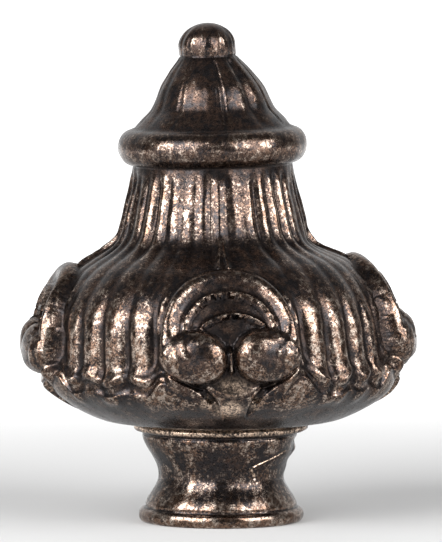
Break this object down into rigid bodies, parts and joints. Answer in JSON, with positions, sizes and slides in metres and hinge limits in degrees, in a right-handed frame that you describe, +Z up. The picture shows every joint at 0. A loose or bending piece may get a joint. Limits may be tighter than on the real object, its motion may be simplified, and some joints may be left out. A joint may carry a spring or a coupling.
{
  "type": "cast metal finial",
  "caption": "Cast lamp finial: waisted foot, shallow bowl, reeded mantle with scrolled arches, collar bead, ribbed cone and knob.",
  "frame": {"origin": "centre line of the foot at the base plane, where the finial seats", "axes": "+Z up the finial to its knob; -Y towards one of its scrolls, with the others at +X, +Y and -X"},
  "size_m": [0.0449, 0.0448, 0.057],
  "materials": {
    "antique_bronze": "satin"
  },
  "bodies": {
    "root": {"finial": "antique_bronze"}
  },
  "joints": []
}
